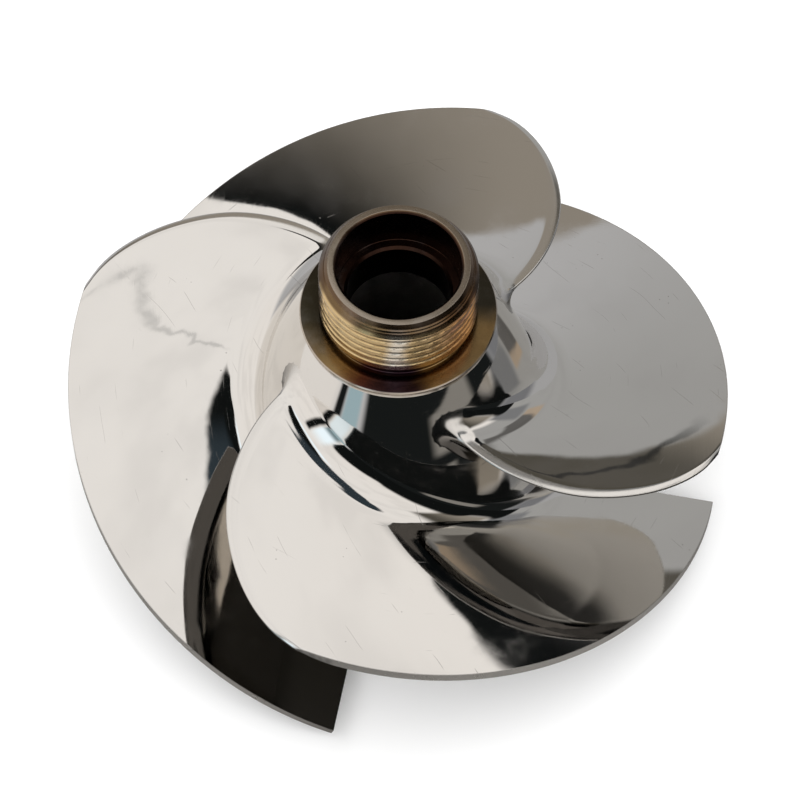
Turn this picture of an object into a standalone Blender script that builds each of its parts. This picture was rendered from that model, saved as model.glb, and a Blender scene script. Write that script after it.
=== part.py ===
"""Personal watercraft impeller: a conical hub with a threaded nose and four swept, overlapping blades.

Metres, +Z up. The origin is on the spin axis at the hub's rear face, and the nose points up.
Angles are in degrees, counterclockwise from +X as seen from the nose.
"""
import math

import bmesh
import bpy
from mathutils import Vector

# Driving dimensions of the impeller
TIP_RADIUS = 0.0775
BLADE_COUNT = 4
SEAT_GAP = 0.0003

# Heights along the axis
SHOULDER_HEIGHT = 0.0662
NOSE_LENGTH = 0.0185
RIM_HEIGHT = SHOULDER_HEIGHT + NOSE_LENGTH
NOSE_JOINT_HEIGHT = SHOULDER_HEIGHT - 0.0024
LEDGE_HEIGHT = RIM_HEIGHT - 0.0110

# Hub: its outside flares from the shoulder down to the rear face
HUB_TOP_RADIUS = 0.0222
HUB_FLARE = 0.0168
HUB_FLARE_DEPTH = 0.0350
HUB_WALL = 0.0045
HUB_OUTLINE_POINTS = 12
REAR_EDGE_CHAMFER = 0.0006
RECESS_TOP_HEIGHT = 0.0440
BOSS_RADIUS = 0.0175
BOSS_REAR_HEIGHT = 0.0080
BORE_RADIUS = 0.0118

# Nose: counterbore, rim, thread, undercut and shoulder
COUNTERBORE_RADIUS = 0.0142
MOUTH_CHAMFER = 0.0006
RIM_OUTER_RADIUS = 0.0161
THREAD_CREST_RADIUS = 0.0181
THREAD_ROOT_RADIUS = 0.0170
THREAD_PITCH = 0.0022
THREAD_TURNS = 6
THREAD_CREST_WIDTH = 0.0004
UNDERCUT_RADIUS = 0.0169
RELIEF_RADIUS = 0.0184
RELIEF_DEPTH = 0.0003
SHOULDER_RADIUS = 0.0219
SHOULDER_CHAMFER = 0.0007
THREAD_TOP_HEIGHT = RIM_HEIGHT - 0.0017

# Blades: the front face is a screw surface that steepens towards the trailing edge
TRAILING_ANGLE = 349.5
TRAILING_HEIGHT = 0.0040
RISE_PER_RADIAN = 0.0274
RISE_EASE = 0.0029
TIP_THICKNESS = 0.0026
ROOT_THICKNESS = 0.0046
THIN_SHARE = 0.7
EDGE_THICKNESS = 0.0007
THINNED_LENGTH = 0.0095
BEVEL_WIDTH = 0.0030
BEVEL_DROP = 0.0005
TRAILING_TAPER = 0.35
TAPER_LENGTH = 0.3
FILLET_RADIUS = 0.0062
LEADING_FILLET_RADIUS = 0.0045
FILLET_EASE_LENGTH = 0.0300
REAR_CLEARANCE = 0.0008

# Leading edge: its angle at the hub, and how far it is swept back towards the tip
ROOT_LEADING_ANGLE = 207.0
SWEEP_SHARE = (0.0, 0.19, 0.37, 0.56, 0.75, 0.88, 0.96, 1.0)
SWEEP_ANGLE = (0.0, 6.0, 12.5, 20.0, 29.0, 36.0, 41.5, 46.0)

# How finely the shapes are cut
TURNED_STEPS = 72
EDGE_COLUMNS = (0.0, 0.0012, 0.0030, 0.0060, 0.0095)
COLUMN_COUNT = 23
EDGE_POINTS = 3
SPAN_SHARES = (0.0, 0.02, 0.05, 0.09, 0.14, 0.25, 0.40, 0.55, 0.70, 0.82, 0.91, 0.965, 1.0)


def clear_scene():
    """Remove every object so the model starts from nothing."""
    for item in list(bpy.data.objects):
        bpy.data.objects.remove(item, do_unlink=True)


def material(name, colour, roughness, metallic=1.0):
    """A Principled material with one plain finish."""
    mat = bpy.data.materials.new(name)
    mat.use_nodes = True
    shader = mat.node_tree.nodes["Principled BSDF"]
    shader.inputs["Base Color"].default_value = (*colour, 1.0)
    shader.inputs["Roughness"].default_value = roughness
    shader.inputs["Metallic"].default_value = metallic
    return mat


def turned(name, outline, mat, collection):
    """Turn a closed outline of (radius, height) points about the Z axis."""
    mesh = bpy.data.meshes.new(name)
    points = [(radius, 0.0, height) for radius, height in outline]
    edges = [(i, (i + 1) % len(points)) for i in range(len(points))]
    mesh.from_pydata(points, edges, [])
    item = bpy.data.objects.new(name, mesh)
    collection.objects.link(item)
    screw = item.modifiers.new("turn", "SCREW")
    screw.steps = TURNED_STEPS
    screw.render_steps = TURNED_STEPS
    screw.use_merge_vertices = True
    screw.merge_threshold = 0.00001
    screw.use_smooth_shade = True
    mesh.materials.append(mat)
    return item


def hub_radius(height):
    """Outer radius of the hub at a height: it flares fast under the nose, then ever less."""
    depth = max(0.0, NOSE_JOINT_HEIGHT - height)
    return HUB_TOP_RADIUS + HUB_FLARE * math.tanh(depth / HUB_FLARE_DEPTH)


def hub_outline():
    """The hub: outer flare, rear rim, open recess, central boss and bore."""
    top = NOSE_JOINT_HEIGHT - SEAT_GAP
    outline = []
    for i in range(HUB_OUTLINE_POINTS):
        height = top + (REAR_EDGE_CHAMFER - top) * i / (HUB_OUTLINE_POINTS - 1)
        outline.append((hub_radius(height), height))
    outline.append((hub_radius(0.0) - REAR_EDGE_CHAMFER, 0.0))
    wall_steps = 4
    for i in range(wall_steps + 1):
        height = RECESS_TOP_HEIGHT * 0.9 * i / wall_steps
        outline.append((hub_radius(height) - HUB_WALL, height))
    outline.append((BOSS_RADIUS + 0.0015, RECESS_TOP_HEIGHT))
    outline.append((BOSS_RADIUS, RECESS_TOP_HEIGHT - 0.0015))
    outline.append((BOSS_RADIUS, BOSS_REAR_HEIGHT + MOUTH_CHAMFER))
    outline.append((BOSS_RADIUS - MOUTH_CHAMFER, BOSS_REAR_HEIGHT))
    outline.append((BORE_RADIUS + MOUTH_CHAMFER, BOSS_REAR_HEIGHT))
    outline.append((BORE_RADIUS, BOSS_REAR_HEIGHT + MOUTH_CHAMFER))
    outline.append((BORE_RADIUS, top))
    return outline


def thread_outline():
    """Crests and roots of the nose thread, from the top down."""
    outline = []
    for turn in range(THREAD_TURNS):
        start = THREAD_TOP_HEIGHT - turn * THREAD_PITCH
        outline.append((THREAD_ROOT_RADIUS, start))
        crest_top = start - (THREAD_PITCH - THREAD_CREST_WIDTH) / 2
        outline.append((THREAD_CREST_RADIUS, crest_top))
        outline.append((THREAD_CREST_RADIUS, crest_top - THREAD_CREST_WIDTH))
    outline.append((THREAD_ROOT_RADIUS, THREAD_TOP_HEIGHT - THREAD_TURNS * THREAD_PITCH))
    return outline


def nose_outline():
    """The nose: rim, thread, undercut with its relief, shoulder and the stepped bore."""
    outline = [(RIM_OUTER_RADIUS, RIM_HEIGHT)]
    outline += thread_outline()
    outline += [
        (UNDERCUT_RADIUS, SHOULDER_HEIGHT - RELIEF_DEPTH),
        (RELIEF_RADIUS, SHOULDER_HEIGHT - RELIEF_DEPTH),
        (RELIEF_RADIUS, SHOULDER_HEIGHT),
        (SHOULDER_RADIUS, SHOULDER_HEIGHT),
        (SHOULDER_RADIUS + SHOULDER_CHAMFER, SHOULDER_HEIGHT - SHOULDER_CHAMFER),
        (hub_radius(NOSE_JOINT_HEIGHT), NOSE_JOINT_HEIGHT),
        (BORE_RADIUS, NOSE_JOINT_HEIGHT),
        (BORE_RADIUS, LEDGE_HEIGHT - MOUTH_CHAMFER),
        (BORE_RADIUS + MOUTH_CHAMFER, LEDGE_HEIGHT),
        (COUNTERBORE_RADIUS, LEDGE_HEIGHT),
        (COUNTERBORE_RADIUS, RIM_HEIGHT - MOUTH_CHAMFER),
        (COUNTERBORE_RADIUS + MOUTH_CHAMFER, RIM_HEIGHT),
    ]
    return outline


def face_height(angle):
    """Height of a blade's front face at an angle, the same from hub to tip."""
    turn = math.radians(TRAILING_ANGLE - angle)
    return TRAILING_HEIGHT + RISE_PER_RADIAN * turn - RISE_EASE * turn * turn


def face_tilt(angle, radius):
    """Tilt of the front face along its direction of turn, in radians."""
    turn = math.radians(TRAILING_ANGLE - angle)
    return math.atan2(RISE_PER_RADIAN - 2 * RISE_EASE * turn, radius)


def sweep(share):
    """Sweep of the leading edge at a share of the span, eased between the stations."""
    last = len(SWEEP_SHARE) - 1
    start = 0
    while start < last - 1 and share > SWEEP_SHARE[start + 1]:
        start += 1
    slopes = []
    for i in (start, start + 1):
        low = max(i - 1, 0)
        high = min(i + 1, last)
        slopes.append((SWEEP_ANGLE[high] - SWEEP_ANGLE[low]) / (SWEEP_SHARE[high] - SWEEP_SHARE[low]))
    width = SWEEP_SHARE[start + 1] - SWEEP_SHARE[start]
    step = SWEEP_ANGLE[start + 1] - SWEEP_ANGLE[start]
    local = (share - SWEEP_SHARE[start]) / width
    lead = slopes[0] * width - step
    trail = step - slopes[1] * width
    bend = local * (1 - local) * (lead * (1 - local) + trail * local)
    return SWEEP_ANGLE[start] + step * local + bend


def thickness(share, along, back):
    """Blade thickness: less towards the tip, the leading edge and the trailing edge.

    along is the share of the chord behind the leading edge, and back is that distance in metres.
    """
    full = ROOT_THICKNESS + (TIP_THICKNESS - ROOT_THICKNESS) * min(1.0, share / THIN_SHARE)
    full *= 1 - TRAILING_TAPER * max(0.0, 1 - (1 - along) / TAPER_LENGTH) ** 2
    rest = max(0.0, 1 - back / THINNED_LENGTH)
    return full + (EDGE_THICKNESS - full) * rest * rest


def bevel_drop(back):
    """How far the front face rolls off at a distance behind the leading edge."""
    return BEVEL_DROP * max(0.0, 1 - back / BEVEL_WIDTH) ** 2


def column_share(column, chord):
    """Share of the chord at a column: close columns behind the leading edge, even ones after them."""
    close = len(EDGE_COLUMNS) - 1
    if column <= close:
        return EDGE_COLUMNS[column] / chord
    start = EDGE_COLUMNS[-1] / chord
    return start + (1 - start) * (column - close) / (COLUMN_COUNT - 1 - close)


def flare(off_hub, back):
    """How far the root fillet thickens each side of the blade at a distance from the hub.

    The fillet is smallest at the leading edge and grows with the distance behind it.
    """
    fillet = LEADING_FILLET_RADIUS
    fillet += (FILLET_RADIUS - LEADING_FILLET_RADIUS) * min(1.0, back / FILLET_EASE_LENGTH)
    rest = max(0.0, fillet - off_hub)
    return fillet - math.sqrt(fillet ** 2 - rest ** 2)


def blade_point(share, column, side, forward):
    """A point of the blade's skin.

    share runs from the hub, 0, to the tip, 1, and column from the leading edge, 0, to the trailing edge.
    side runs from 1 on the front face to -1 on the rear face, and forward is how far the point is pushed
    ahead of the centre line, where 1 is the whole half thickness.
    """
    leading = ROOT_LEADING_ANGLE + sweep(share)
    height = face_height(leading)
    for _ in range(8):
        inner = hub_radius(height) + SEAT_GAP
        radius = inner + (TIP_RADIUS - inner) * share
        start = leading + math.degrees(EDGE_THICKNESS / 2 / radius)
        chord = radius * math.radians(TRAILING_ANGLE - start)
        along = column_share(column, chord)
        back = along * chord
        angle = start + (TRAILING_ANGLE - start) * along
        tilt = face_tilt(angle, radius)
        thick = thickness(share, along, back)
        sunk = thick / 2 + bevel_drop(back)
        middle = face_height(angle) - sunk * math.cos(tilt)
        reach = thick / 2 + flare(radius - inner + SEAT_GAP, back)
        if side < 0:
            reach = min(reach, (middle - REAR_CLEARANCE) / math.cos(tilt))
        height = middle + reach * (side * math.cos(tilt) + forward * math.sin(tilt))
    shift = reach * (side * math.sin(tilt) - forward * math.cos(tilt)) - sunk * math.sin(tilt)
    turn = math.radians(angle) + shift / radius
    return Vector((radius * math.cos(turn), radius * math.sin(turn), height))


def edge_turns():
    """Turns from the front face round an edge to the rear face, without the two ends."""
    return [math.pi * i / (EDGE_POINTS + 1) for i in range(1, EDGE_POINTS + 1)]


def section(share):
    """A closed section of the blade: front face, trailing edge, rear face, rounded leading edge."""
    columns = range(COLUMN_COUNT)
    points = [blade_point(share, column, 1.0, 0.0) for column in columns]
    points += [blade_point(share, COLUMN_COUNT - 1, math.cos(turn), 0.0) for turn in edge_turns()]
    points += [blade_point(share, column, -1.0, 0.0) for column in reversed(columns)]
    points += [blade_point(share, 0, math.cos(turn), math.sin(turn)) for turn in reversed(edge_turns())]
    return points


def close_end(bm, ring, share):
    """Close one end of the blade with strips that follow the hub or the tip circle."""
    front = ring[:COLUMN_COUNT]
    trailing = ring[COLUMN_COUNT:COLUMN_COUNT + EDGE_POINTS]
    rear = list(reversed(ring[COLUMN_COUNT + EDGE_POINTS:2 * COLUMN_COUNT + EDGE_POINTS]))
    leading = list(reversed(ring[2 * COLUMN_COUNT + EDGE_POINTS:]))
    rows = [front]
    for turn, edge_vertex in zip(edge_turns(), trailing):
        row = []
        for column in range(COLUMN_COUNT - 1):
            row.append(bm.verts.new(blade_point(share, column, math.cos(turn), 0.0)))
        rows.append(row + [edge_vertex])
    rows.append(rear)
    for upper, lower in zip(rows, rows[1:]):
        for i in range(COLUMN_COUNT - 1):
            bm.faces.new((upper[i], lower[i], lower[i + 1], upper[i + 1]))
    outer = [front[0]] + leading + [rear[0]]
    inner = [row[0] for row in rows]
    for i in range(len(outer) - 1):
        corners = [outer[i], outer[i + 1], inner[i + 1], inner[i]]
        bm.faces.new(list(dict.fromkeys(corners)))


def blade_mesh():
    """One blade, lofted through its sections from the hub to the tip."""
    bm = bmesh.new()
    rings = []
    for share in SPAN_SHARES:
        rings.append([bm.verts.new(point) for point in section(share)])
    for low, high in zip(rings, rings[1:]):
        for i in range(len(low)):
            j = (i + 1) % len(low)
            bm.faces.new((low[i], low[j], high[j], high[i]))
    close_end(bm, rings[0], SPAN_SHARES[0])
    close_end(bm, rings[-1], SPAN_SHARES[-1])
    bmesh.ops.recalc_face_normals(bm, faces=bm.faces)
    mesh = bpy.data.meshes.new("blade")
    bm.to_mesh(mesh)
    bm.free()
    return mesh


def main():
    """Build the impeller in a collection of its own."""
    clear_scene()
    parts = bpy.data.collections.new("impeller")
    bpy.context.scene.collection.children.link(parts)
    hub_steel = material("polished_hub_steel", (0.62, 0.60, 0.57), 0.08)
    blade_steel = material("polished_blade_steel", (0.66, 0.64, 0.61), 0.07)
    nose_steel = material("heat_tinted_steel", (0.52, 0.38, 0.20), 0.22)

    turned("hub", hub_outline(), hub_steel, parts)
    turned("threaded_nose", nose_outline(), nose_steel, parts)
    mesh = blade_mesh()
    mesh.materials.append(blade_steel)
    mesh.shade_smooth()
    mesh.set_sharp_from_angle(angle=math.radians(35))
    for i in range(BLADE_COUNT):
        blade = bpy.data.objects.new(f"blade_{i + 1}", mesh)
        blade.rotation_euler = (0.0, 0.0, math.tau * i / BLADE_COUNT)
        parts.objects.link(blade)


main()
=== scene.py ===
"""The looks of a personal watercraft impeller: mirror-polished steel blades and hub, a heat-tinted threaded nose.

Metres, +Z up. The origin is on the spin axis at the hub's rear face, and the nose points up.
Angles are in degrees, counterclockwise from +X as seen from the nose.
"""
import math

import bmesh
import bpy
from bpy.props import FloatProperty, FloatVectorProperty, IntProperty, PointerProperty
from mathutils import Matrix, Vector


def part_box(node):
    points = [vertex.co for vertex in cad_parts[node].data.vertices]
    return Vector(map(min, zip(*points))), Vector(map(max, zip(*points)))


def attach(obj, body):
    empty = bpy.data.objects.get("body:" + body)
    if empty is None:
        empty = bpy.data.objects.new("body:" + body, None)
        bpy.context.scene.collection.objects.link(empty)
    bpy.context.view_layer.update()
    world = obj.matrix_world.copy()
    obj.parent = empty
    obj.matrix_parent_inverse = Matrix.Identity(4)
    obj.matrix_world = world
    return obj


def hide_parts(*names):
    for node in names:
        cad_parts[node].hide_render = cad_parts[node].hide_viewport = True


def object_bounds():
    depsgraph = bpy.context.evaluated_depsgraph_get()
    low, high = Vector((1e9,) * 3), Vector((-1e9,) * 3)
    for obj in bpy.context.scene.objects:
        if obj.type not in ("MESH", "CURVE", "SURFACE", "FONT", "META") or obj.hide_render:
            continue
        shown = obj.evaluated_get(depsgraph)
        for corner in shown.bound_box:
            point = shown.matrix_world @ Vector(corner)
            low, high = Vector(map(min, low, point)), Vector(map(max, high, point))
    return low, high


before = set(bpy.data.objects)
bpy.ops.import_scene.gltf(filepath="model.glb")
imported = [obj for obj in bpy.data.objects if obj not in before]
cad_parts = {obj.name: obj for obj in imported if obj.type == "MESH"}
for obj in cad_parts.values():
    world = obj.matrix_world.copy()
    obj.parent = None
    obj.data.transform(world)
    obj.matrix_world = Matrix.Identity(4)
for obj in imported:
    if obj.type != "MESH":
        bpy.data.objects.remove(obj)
cad_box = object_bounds()

bl_info = {
    "name": "Watercraft Impeller",
    "version": (1, 0, 0),
    "blender": (4, 5, 0),
    "location": "3D View > Sidebar > Impeller",
    "description": "Builds the finished impeller, its metals and a small studio",
    "category": "Object",
}

# The impeller stands on its rear face, so the frame gives the main sizes
TIP_RADIUS = cad_box[1].x
RIM_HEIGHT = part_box("threaded_nose")[1].z
JOINT_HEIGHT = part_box("threaded_nose")[0].z
SHOULDER_HEIGHT = RIM_HEIGHT - 0.0185
BORE_RADIUS = 0.0118
BLADE_COUNT = 4
FIRST_GROOVE = 0.00425
TAPER_START = 0.0165
TAPER_SLOPE = 0.64
GROOVE_SHARE = 0.24


class HubSettings(bpy.types.PropertyGroup):
    """Sizes of the hub."""
    top_radius: FloatProperty(name="Top radius", description="Radius of the hub where the nose shoulder starts",
                              default=0.0222, subtype="DISTANCE", unit="LENGTH")
    flare: FloatProperty(name="Flare", description="How far the radius would grow in all, going down from the nose",
                         default=0.0168, subtype="DISTANCE", unit="LENGTH")
    flare_depth: FloatProperty(name="Flare depth", description="Depth at which three quarters of the growth is reached",
                               default=0.0350, subtype="DISTANCE", unit="LENGTH")
    wall: FloatProperty(name="Wall", description="Thickness of the wall round the rear recess",
                        default=0.0045, subtype="DISTANCE", unit="LENGTH")
    steps: IntProperty(name="Steps", description="Steps round the axis", default=240, min=24)


class NoseSettings(bpy.types.PropertyGroup):
    """Sizes of the threaded nose."""
    thread_radius: FloatProperty(name="Thread radius", description="Outer radius of the thread",
                                 default=0.0181, subtype="DISTANCE", unit="LENGTH")
    root_radius: FloatProperty(name="Root radius", description="Radius at the foot of the thread grooves",
                               default=0.0171, subtype="DISTANCE", unit="LENGTH")
    pitch: FloatProperty(name="Pitch", description="Height of one turn of the thread",
                         default=0.0023, subtype="DISTANCE", unit="LENGTH")
    turns: FloatProperty(name="Turns", description="Turns of the groove", default=4.5, min=1.0)
    steps: IntProperty(name="Steps", description="Steps round the axis", default=300, min=24)


class BladeSettings(bpy.types.PropertyGroup):
    """Sizes of the blades."""
    tip_thickness: FloatProperty(name="Tip thickness", description="Thickness of a blade towards its tip",
                                 default=0.0026, subtype="DISTANCE", unit="LENGTH")
    root_thickness: FloatProperty(name="Root thickness", description="Thickness of a blade at the hub",
                                  default=0.0046, subtype="DISTANCE", unit="LENGTH")
    edge_thickness: FloatProperty(name="Edge thickness", description="Thickness left at the leading edge",
                                  default=0.0007, subtype="DISTANCE", unit="LENGTH")
    bevel_width: FloatProperty(name="Bevel width", description="Width of the rounded bevel behind the leading edge",
                               default=0.0030, subtype="DISTANCE", unit="LENGTH")
    fillet: FloatProperty(name="Root fillet", description="Radius of the fillet between blade and hub",
                          default=0.0062, subtype="DISTANCE", unit="LENGTH")
    leading_fillet: FloatProperty(name="Leading fillet", description="Radius of that fillet at the leading edge",
                                  default=0.0045, subtype="DISTANCE", unit="LENGTH")


class FinishSettings(bpy.types.PropertyGroup):
    """Colours and wear of the metals."""
    steel: FloatVectorProperty(name="Polished steel", description="Colour of the mirror-polished steel",
                               default=(0.80, 0.78, 0.75), subtype="COLOR", min=0.0, max=1.0)
    straw: FloatVectorProperty(name="Straw tint", description="Colour of the lightly heated steel",
                               default=(0.74, 0.55, 0.29), subtype="COLOR", min=0.0, max=1.0)
    brown: FloatVectorProperty(name="Brown tint", description="Colour of the steel where it was heated more",
                               default=(0.20, 0.12, 0.06), subtype="COLOR", min=0.0, max=1.0)
    purple: FloatVectorProperty(name="Purple tint", description="Colour of the steel where it was heated most",
                                default=(0.045, 0.024, 0.034), subtype="COLOR", min=0.0, max=1.0)
    wear: FloatProperty(name="Wear", description="How strongly haze, specks and scratches show",
                        default=1.0, min=0.0, max=2.0)


class StageSettings(bpy.types.PropertyGroup):
    """The camera and the small studio."""
    lens: FloatProperty(name="Lens", description="Focal length of the camera, in millimetres", default=160.18)
    floor: FloatVectorProperty(name="Floor", description="Colour of the floor",
                               default=(0.9, 0.9, 0.9), subtype="COLOR", min=0.0, max=1.0)


# Shapes shared with the solids

def hub_radius(hub, height):
    """Outer radius of the hub at a height: it flares fast under the nose, then ever less."""
    depth = max(0.0, JOINT_HEIGHT - height)
    return hub.top_radius + hub.flare * math.tanh(depth / hub.flare_depth)


TRAILING_ANGLE = 349.5
TRAILING_HEIGHT = 0.0040
RISE_PER_RADIAN = 0.0274
RISE_EASE = 0.0029
ROOT_LEADING_ANGLE = 207.0
SWEEP_SHARE = (0.0, 0.19, 0.37, 0.56, 0.75, 0.88, 0.96, 1.0)
SWEEP_ANGLE = (0.0, 6.0, 12.5, 20.0, 29.0, 36.0, 41.5, 46.0)
THIN_SHARE = 0.7
THINNED_LENGTH = 0.0095
FILLET_EASE_LENGTH = 0.0300
BEVEL_DROP = 0.0005
TRAILING_TAPER = 0.35
TAPER_LENGTH = 0.3
REAR_CLEARANCE = 0.0008
EDGE_COLUMNS = 16
COLUMNS = 120
EDGE_TURNS = 8
ARC_ANGLES = (0.0, 1.5, 4.0, 8.0, 13.0, 19.0, 26.0, 34.0, 43.0, 53.0, 64.0, 76.0, 90.0)
SPAN_ROWS = 52


def face_height(angle):
    """Height of a blade's front face at an angle, the same from hub to tip."""
    turn = math.radians(TRAILING_ANGLE - angle)
    return TRAILING_HEIGHT + RISE_PER_RADIAN * turn - RISE_EASE * turn * turn


def face_tilt(angle, radius):
    """Tilt of the front face along its direction of turn, in radians."""
    turn = math.radians(TRAILING_ANGLE - angle)
    return math.atan2(RISE_PER_RADIAN - 2 * RISE_EASE * turn, radius)


def sweep(share):
    """Sweep of the leading edge at a share of the span, eased between the stations."""
    last = len(SWEEP_SHARE) - 1
    start = 0
    while start < last - 1 and share > SWEEP_SHARE[start + 1]:
        start += 1
    slopes = []
    for i in (start, start + 1):
        low = max(i - 1, 0)
        high = min(i + 1, last)
        slopes.append((SWEEP_ANGLE[high] - SWEEP_ANGLE[low]) / (SWEEP_SHARE[high] - SWEEP_SHARE[low]))
    width = SWEEP_SHARE[start + 1] - SWEEP_SHARE[start]
    step = SWEEP_ANGLE[start + 1] - SWEEP_ANGLE[start]
    local = (share - SWEEP_SHARE[start]) / width
    lead = slopes[0] * width - step
    trail = step - slopes[1] * width
    bend = local * (1 - local) * (lead * (1 - local) + trail * local)
    return SWEEP_ANGLE[start] + step * local + bend


def thickness(blade, share, along, back):
    """Blade thickness: less towards the tip, the leading edge and the trailing edge."""
    full = blade.root_thickness + (blade.tip_thickness - blade.root_thickness) * min(1.0, share / THIN_SHARE)
    full *= 1 - TRAILING_TAPER * max(0.0, 1 - (1 - along) / TAPER_LENGTH) ** 2
    rest = max(0.0, 1 - back / THINNED_LENGTH)
    return full + (blade.edge_thickness - full) * rest * rest


def edge_distance(column):
    """Distance of a column behind the leading edge, only rough beyond the close columns."""
    if column <= EDGE_COLUMNS:
        return THINNED_LENGTH * (column / EDGE_COLUMNS) ** 1.6
    return THINNED_LENGTH + 0.001 * (column - EDGE_COLUMNS)


def column_share(column, chord):
    """Share of the chord at a column: close columns behind the leading edge, even ones after them."""
    if column <= EDGE_COLUMNS:
        return edge_distance(column) / chord
    start = THINNED_LENGTH / chord
    return start + (1 - start) * (column - EDGE_COLUMNS) / (COLUMNS - EDGE_COLUMNS)


def fillet_radius(blade, back):
    """Radius of the root fillet at a distance behind the leading edge."""
    return blade.leading_fillet + (blade.fillet - blade.leading_fillet) * min(1.0, back / FILLET_EASE_LENGTH)


def span_rows():
    """Rows of the skin, from the foot of the fillet to the tip.

    Each is (how far off the hub and how far flared, as shares of the fillet's radius, share of the free span).
    """
    rows = []
    for angle in ARC_ANGLES:
        turn = math.radians(angle)
        rows.append((1 - math.cos(turn), 1 - math.sin(turn), 0.0))
    for i in range(1, SPAN_ROWS + 1):
        rows.append((1.0, 0.0, (i / SPAN_ROWS) ** 0.85))
    return rows


def skin_point(hub, blade, row, column, side, forward):
    """A point of a blade's skin.

    row comes from span_rows, and column runs from the leading edge, 0, to the trailing edge.
    side runs from 1 on the front face to -1 on the rear face, and forward is how far the point is pushed
    ahead of the centre line, where 1 is the whole half thickness.
    """
    off_share, flare_share, free_share = row
    height = 0.03
    back = 0.0
    for _ in range(8):
        inner = hub_radius(hub, height)
        fillet = fillet_radius(blade, back)
        off_hub = fillet * off_share
        radius = inner + off_hub + (TIP_RADIUS - inner - off_hub) * free_share
        share = (radius - inner) / (TIP_RADIUS - inner)
        leading = ROOT_LEADING_ANGLE + sweep(max(0.0, share))
        start = leading + math.degrees(blade.edge_thickness / 2 / radius)
        chord = radius * math.radians(TRAILING_ANGLE - start)
        along = column_share(column, chord)
        back = along * chord
        angle = start + (TRAILING_ANGLE - start) * along
        tilt = face_tilt(angle, radius)
        thick = thickness(blade, max(0.0, share), along, back)
        drop = BEVEL_DROP * max(0.0, 1 - back / blade.bevel_width) ** 2
        sunk = thick / 2 + drop
        middle = face_height(angle) - sunk * math.cos(tilt)
        reach = thick / 2 + fillet * flare_share
        if side < 0:
            reach = min(reach, (middle - REAR_CLEARANCE) / math.cos(tilt))
        height = middle + reach * (side * math.cos(tilt) + forward * math.sin(tilt))
    shift = reach * (side * math.sin(tilt) - forward * math.cos(tilt)) - sunk * math.sin(tilt)
    turn = math.radians(angle) + shift / radius
    return Vector((radius * math.cos(turn), radius * math.sin(turn), height))


def ring_places():
    """The way round a blade's section as (column, side, forward): front face, trailing edge, rear face, leading edge."""
    places = [(column, 1.0, 0.0) for column in range(COLUMNS)]
    for i in range(EDGE_TURNS):
        turn = math.pi * i / EDGE_TURNS
        places.append((COLUMNS, math.cos(turn), 0.0))
    places += [(column, -1.0, 0.0) for column in range(COLUMNS, 0, -1)]
    for i in range(EDGE_TURNS):
        turn = math.pi * (1 - i / EDGE_TURNS)
        places.append((0, math.cos(turn), math.sin(turn)))
    return places


def new_piece(name, bm, materials):
    """Make a piece of the impeller from a bmesh that is in place."""
    mesh = bpy.data.meshes.new(name)
    bm.to_mesh(mesh)
    bm.free()
    for item in materials:
        mesh.materials.append(item)
    piece = bpy.data.objects.new(name, mesh)
    bpy.context.scene.collection.objects.link(piece)
    return piece


def spun(outline, steps, closed=True):
    """Spin an outline of (radius, height) points a full turn about the axis."""
    bm = bmesh.new()
    verts = [bm.verts.new((radius, 0.0, height)) for radius, height in outline]
    pairs = list(zip(verts, verts[1:]))
    if closed:
        pairs.append((verts[-1], verts[0]))
    edges = [bm.edges.new(pair) for pair in pairs]
    bmesh.ops.spin(bm, geom=verts + edges, cent=(0, 0, 0), axis=(0, 0, 1), dvec=(0, 0, 0),
                   angle=math.tau, steps=steps, use_merge=True, use_duplicate=False)
    bmesh.ops.remove_doubles(bm, verts=bm.verts, dist=0.000001)
    bmesh.ops.recalc_face_normals(bm, faces=bm.faces)
    return bm


def blade_skin(hub, blade):
    """One blade as a closed bmesh, starting from a flat grid that is wrapped round the blade's sections."""
    places = ring_places()
    rows = span_rows()
    around = len(places)
    bm = bmesh.new()
    bmesh.ops.create_grid(bm, x_segments=around, y_segments=len(rows) + 2, size=1.0)
    behind = bm.verts.layers.float.new("behind_edge")
    rear = bm.verts.layers.float.new("rear_side")
    thin = bm.verts.layers.float.new("thin_edge")
    count_x = around + 1
    count_y = len(rows) + 3
    verts = sorted(bm.verts, key=lambda v: (round(v.co.y, 5), round(v.co.x, 5)))
    ring = [[skin_point(hub, blade, row, *place) for place in places] for row in rows]
    sunk = []
    for point in ring[0]:
        flat = Vector((point.x, point.y, 0)).normalized() * 0.0012
        sunk.append(point - flat)

    def middle(points):
        """Points moved to the middle line between the front and rear faces."""
        moved = []
        total = len(points)
        for i in range(total):
            other = (COLUMNS * 2 + EDGE_TURNS - i) % total if i <= COLUMNS * 2 + EDGE_TURNS else i
            moved.append((points[i] + points[other]) / 2)
        return moved

    tip = []
    for point in middle(ring[-1]):
        flat = Vector((point.x, point.y, 0))
        flat = flat.normalized() * TIP_RADIUS
        tip.append(Vector((flat.x, flat.y, point.z)))
    levels = [middle(sunk), sunk] + ring + [tip]
    for j in range(count_y):
        for i in range(count_x):
            vert = verts[j * count_x + i]
            vert.co = levels[j][i % around]
            column, side, _ = places[i % around]
            vert[behind] = edge_distance(column)
            vert[rear] = (1 - side) / 2
            vert[thin] = 1.0
    bmesh.ops.remove_doubles(bm, verts=bm.verts, dist=0.0000015)
    bmesh.ops.recalc_face_normals(bm, faces=bm.faces)
    return bm


# Node trees are put together with these few helpers

def set_input(tree, socket, value):
    """Link a socket to another node's output, or set it to a plain value."""
    if isinstance(value, bpy.types.NodeSocket):
        tree.links.new(value, socket)
    elif isinstance(value, (tuple, list)) and len(value) == 3 and socket.type == "RGBA":
        socket.default_value = (*value, 1.0)
    else:
        socket.default_value = value


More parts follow.
